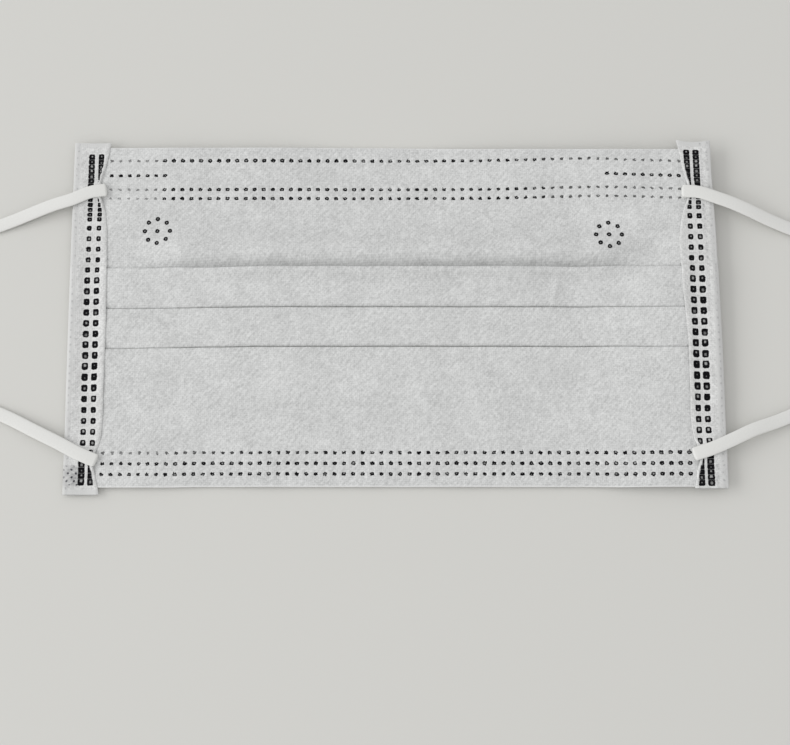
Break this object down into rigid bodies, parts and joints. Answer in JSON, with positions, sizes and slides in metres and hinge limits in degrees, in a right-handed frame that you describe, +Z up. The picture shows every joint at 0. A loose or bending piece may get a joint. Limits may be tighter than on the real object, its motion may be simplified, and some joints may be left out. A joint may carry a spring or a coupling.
{
  "type": "activated carbon face mask",
  "caption": "Flat-folded activated carbon face mask of grey nonwoven cloth with knife pleats, welded side bindings and soft white ear loops, lying with the wearer's side up.",
  "frame": {"origin": "on the floor under the middle of the mask, measured over the cloth and the side bindings without the ear loops", "axes": "+X along the mask's width, +Y towards its nose edge, +Z up, out of the wearer's side"},
  "size_m": [0.304, 0.0984, 0.0071],
  "materials": {
    "nonwoven_cloth": "matte pale grey spunbond nonwoven over dark carbon cloth, with rows of dark weld marks",
    "binding_cloth": "matte off-white spunbond nonwoven with two columns of dark square weld marks",
    "loop_elastic": "soft matte off-white flat elastic"
  },
  "bodies": {
    "root": {"mask_body": "nonwoven_cloth", "side_binding_left": "binding_cloth", "side_binding_right": "binding_cloth", "ear_loop_left": "loop_elastic", "ear_loop_right": "loop_elastic"}
  },
  "joints": []
}
